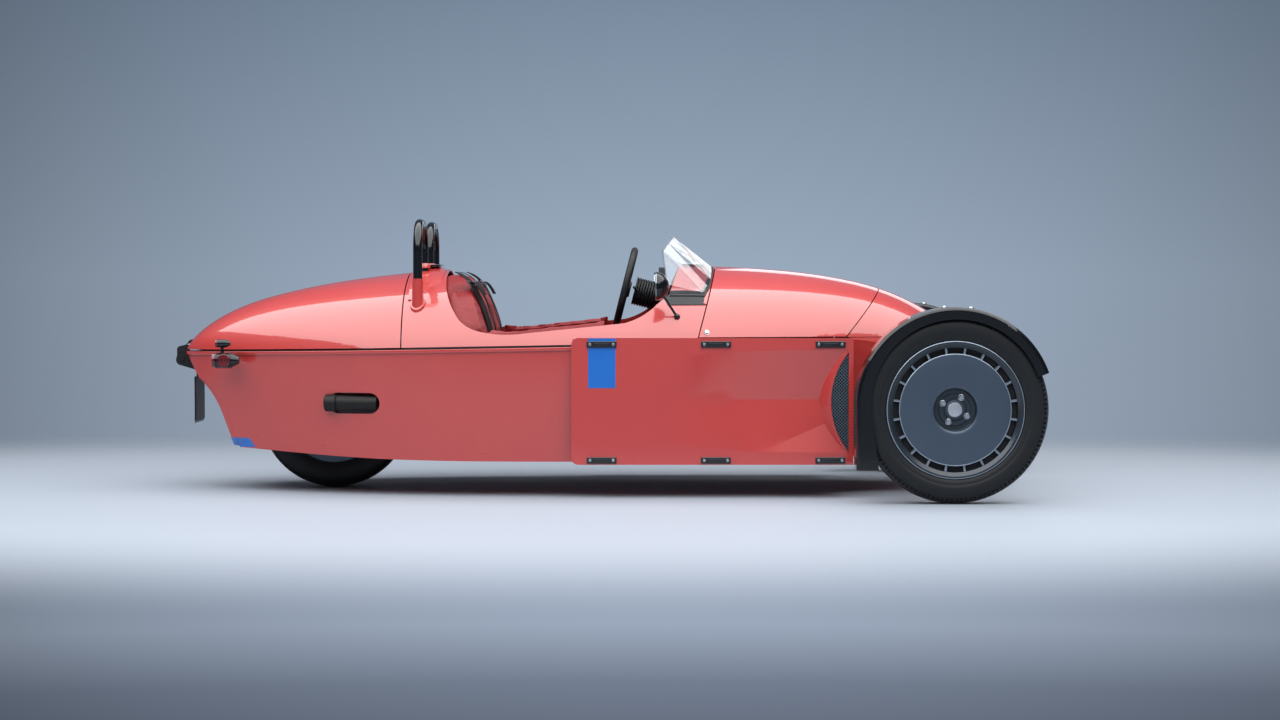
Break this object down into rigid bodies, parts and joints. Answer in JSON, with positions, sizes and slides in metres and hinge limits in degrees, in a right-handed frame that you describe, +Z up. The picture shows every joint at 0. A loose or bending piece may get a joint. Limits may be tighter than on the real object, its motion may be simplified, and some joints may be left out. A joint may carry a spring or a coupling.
{
  "type": "three wheeled car",
  "caption": "Open two-seat three-wheeled roadster with narrow front wheels under cycle guards, one rear wheel in a boat tail, side blades, aero screens and roll hoops.",
  "frame": {"origin": "on the ground, halfway along the overall length, on the centre plane", "axes": "+X forward, +Y to the car's left, +Z up"},
  "size_m": [3.5816, 1.85, 1.1319],
  "materials": {
    "paint": "gloss",
    "black_gloss": "gloss",
    "black_satin": "satin",
    "wheel_grey": "satin",
    "cast_alloy": "satin",
    "steel": "satin",
    "tyre": "matte",
    "rubber": "matte",
    "upholstery": "satin",
    "carpet": "matte",
    "black_plastic": "matte",
    "clear": "gloss",
    "red_lens": "gloss",
    "plate": "satin"
  },
  "bodies": {
    "body": {"aero_screens": "clear", "belt_seal": "rubber", "blade_clips": "black_satin", "cockpit_padding": "upholstery", "dashboard": "black_satin", "exhaust_tips": "black_satin", "floor_controls": "black_plastic", "floor_trim": "carpet", "front_frame": "cast_alloy", "front_suspension": "black_satin", "headlamp_lenses": "clear", "headlamp_shells": "black_gloss", "hoop_collars": "paint", "hull_tub": "paint", "intake_mesh": "black_satin", "mirrors": "black_gloss", "nose_cowl": "paint", "nose_grille": "black_satin", "nose_sides": "paint", "number_plate": "plate", "power_train": "cast_alloy", "roll_hoops": "black_gloss", "screen_brackets": "black_plastic", "seat_backs": "upholstery", "seat_cushions": "upholstery", "side_blades": "paint", "side_shelves": "paint", "swing_arm": "black_satin", "tail_brackets": "black_satin", "tail_lamps": "black_gloss", "tail_lenses": "red_lens", "upper_cowl": "paint"},
    "bonnet": {"bonnet": "paint"},
    "boot_lid": {"boot_lid": "paint", "lid_strap": "black_satin"},
    "steer_right": {"upright_right": "cast_alloy", "guard_right": "black_gloss"},
    "steer_left": {"upright_left": "cast_alloy", "guard_left": "black_gloss"},
    "front_wheel_right": {"front_tyre_right": "tyre", "front_rim_right": "wheel_grey", "front_brake_disc_right": "steel"},
    "front_wheel_left": {"front_tyre_left": "tyre", "front_rim_left": "wheel_grey", "front_brake_disc_left": "steel"},
    "rear_wheel": {"rear_tyre": "tyre", "rear_rim": "wheel_grey"},
    "steering_wheel": {"steering_wheel": "black_plastic"},
    "rack": {"tie_rods": "steel"}
  },
  "joints": [
    {"name": "bonnet_lift", "type": "slide", "parent": "body", "child": "bonnet", "axis": [0.4226, 0, 0.9063], "range_m": [0, 0.35]},
    {"name": "boot_hinge", "type": "hinge", "parent": "body", "child": "boot_lid", "pos_m": [-1.764, 0, 0.543], "axis": [0, -1, 0], "range_deg": [0, 60]},
    {"name": "steering", "type": "hinge", "parent": "body", "child": "steer_right", "pos_m": [1.4195, -0.8, 0.371], "axis": [0, 0, 1], "range_deg": [-30, 30]},
    {"name": "steering_left", "type": "hinge", "parent": "body", "child": "steer_left", "pos_m": [1.4195, 0.8, 0.371], "axis": [0, 0, 1], "range_deg": [-30, 30]},
    {"name": "steering_wheel_turn", "type": "hinge", "parent": "body", "child": "steering_wheel", "pos_m": [0.12, -0.262, 0.845], "axis": [-0.9694, 0, 0.2453], "range_deg": [-420, 420]},
    {"name": "rack_slide", "type": "slide", "parent": "body", "child": "rack", "axis": [0, 1, 0], "range_m": [-0.07, 0.07]},
    {"name": "front_wheel_right_spin", "type": "hinge", "parent": "steer_right", "child": "front_wheel_right", "pos_m": [1.4195, -0.852, 0.371], "axis": [0, 1, 0], "continuous": true},
    {"name": "front_wheel_left_spin", "type": "hinge", "parent": "steer_left", "child": "front_wheel_left", "pos_m": [1.4195, 0.852, 0.371], "axis": [0, 1, 0], "continuous": true},
    {"name": "rear_wheel_spin", "type": "hinge", "parent": "body", "child": "rear_wheel", "pos_m": [-1.1155, 0, 0.317], "axis": [0, 1, 0], "continuous": true}
  ],
  "couplings": [
    {"joint": "steering_left", "follows": "steering", "ratio": 1},
    {"joint": "steering_wheel_turn", "follows": "steering", "ratio": 14},
    {"joint": "rack_slide", "follows": "steering", "m_per_rad": -0.115}
  ]
}
